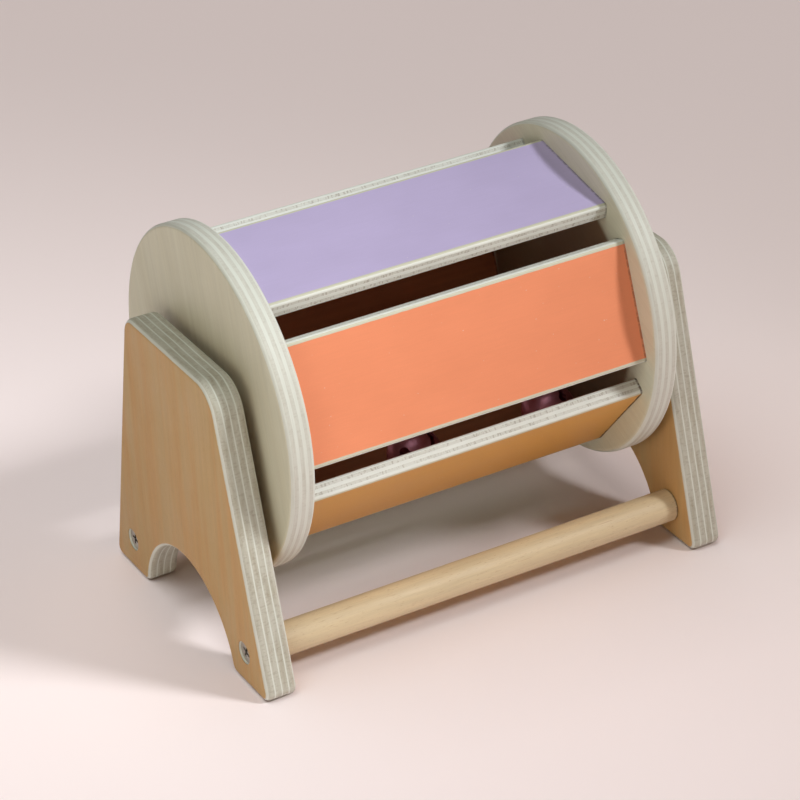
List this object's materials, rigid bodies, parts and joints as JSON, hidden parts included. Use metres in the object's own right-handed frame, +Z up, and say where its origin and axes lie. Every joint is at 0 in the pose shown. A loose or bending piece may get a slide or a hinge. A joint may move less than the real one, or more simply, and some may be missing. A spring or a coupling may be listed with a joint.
{
  "type": "infants' spinning drum",
  "caption": "Wooden spinning drum toy: coloured slats between plywood discs, turning between arched stands, with loose jingle bells inside.",
  "frame": {"origin": "middle of the object's footprint, on the surface it stands on", "axes": "+X along the drum's axle to the right, -Y to the front, +Z up"},
  "size_m": [0.1868, 0.1276, 0.147],
  "materials": {
    "stand_ply": "clear matt lacquer on birch plywood",
    "disc_ply": "clear matt lacquer on pale plywood",
    "dowel_wood": "bare beech dowel",
    "axle_wood": "waxed beech",
    "lilac": "matt lilac paint on plywood",
    "orange": "matt orange paint on plywood",
    "ochre": "matt ochre paint on plywood",
    "green": "matt green paint on plywood",
    "blue": "matt blue paint on plywood",
    "pink": "matt pink paint on plywood",
    "screw_steel": "zinc-plated",
    "bell_metal": "pink metallic",
    "pellet_steel": "bare"
  },
  "bodies": {
    "stand_frame": {"left_stand": "stand_ply", "right_stand": "stand_ply", "front_dowel": "dowel_wood", "rear_dowel": "dowel_wood", "foot_screws": "screw_steel"},
    "drum": {"left_disc": "disc_ply", "right_disc": "disc_ply", "left_axle": "axle_wood", "right_axle": "axle_wood", "lilac_slat": "lilac", "orange_slat": "orange", "ochre_slat": "ochre", "green_slat": "green", "blue_slat": "blue", "pink_slat": "pink"},
    "bell_1": {"bell_1_shell": "bell_metal", "bell_1_loop": "bell_metal"},
    "pellet_1": {"bell_1_pellet": "pellet_steel"},
    "bell_2": {"bell_2_shell": "bell_metal", "bell_2_loop": "bell_metal"},
    "pellet_2": {"bell_2_pellet": "pellet_steel"}
  },
  "joints": [
    {"name": "drum_spin", "type": "hinge", "parent": "stand_frame", "child": "drum", "pos_m": [0, 0.00126, 0.0845], "axis": [1, 0, 0], "continuous": true},
    {"name": "bell_1_drop", "type": "slide", "parent": "drum", "child": "bell_1", "axis": [0, 0.3156, 0.9489], "range_m": [0, 0.0816]},
    {"name": "pellet_1_rattle", "type": "slide", "parent": "bell_1", "child": "pellet_1", "axis": [0, 0.3156, 0.9489], "range_m": [0, 0.0128]},
    {"name": "bell_2_drop", "type": "slide", "parent": "drum", "child": "bell_2", "axis": [0, 0.3156, 0.9489], "range_m": [0, 0.0816]},
    {"name": "pellet_2_rattle", "type": "slide", "parent": "bell_2", "child": "pellet_2", "axis": [0, 0.3156, 0.9489], "range_m": [0, 0.0128]}
  ]
}
